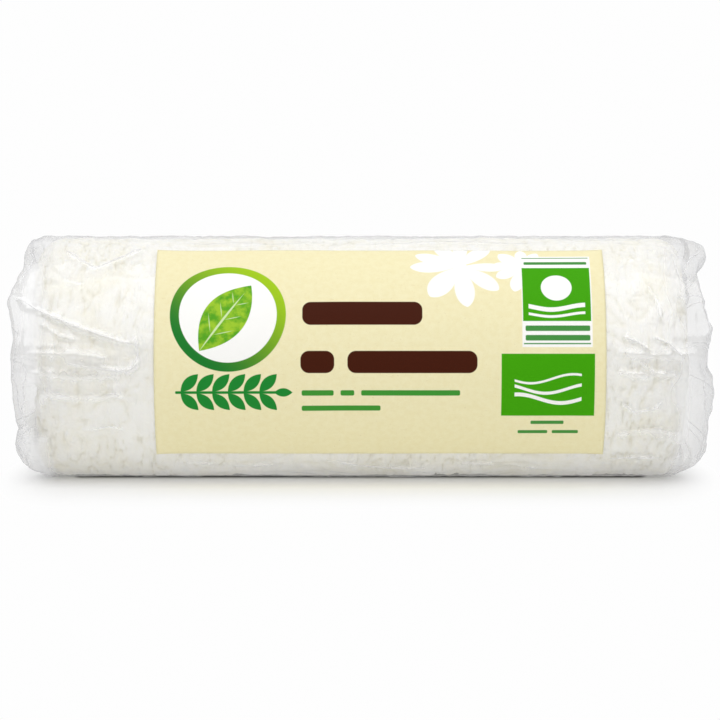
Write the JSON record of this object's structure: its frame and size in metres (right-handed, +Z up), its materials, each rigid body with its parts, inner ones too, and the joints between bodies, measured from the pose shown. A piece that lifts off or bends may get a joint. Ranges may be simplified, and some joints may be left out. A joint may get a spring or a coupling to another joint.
{
  "type": "wrapped goat cheese log",
  "caption": "Round log of soft white-rinded goat cheese in tight clear film, with pleated ends and a paper label round its front.",
  "frame": {"origin": "the middle of the flat that the log rests on, in the middle of its outline seen from above", "axes": "+X along the log, -Y out of the labelled front, +Z up"},
  "size_m": [0.124, 0.0442, 0.0434],
  "materials": {
    "film": "gloss",
    "cheese": "matte",
    "label_paper": "satin"
  },
  "bodies": {
    "root": {"wrapped_log": "film", "label": "label_paper"}
  },
  "joints": []
}
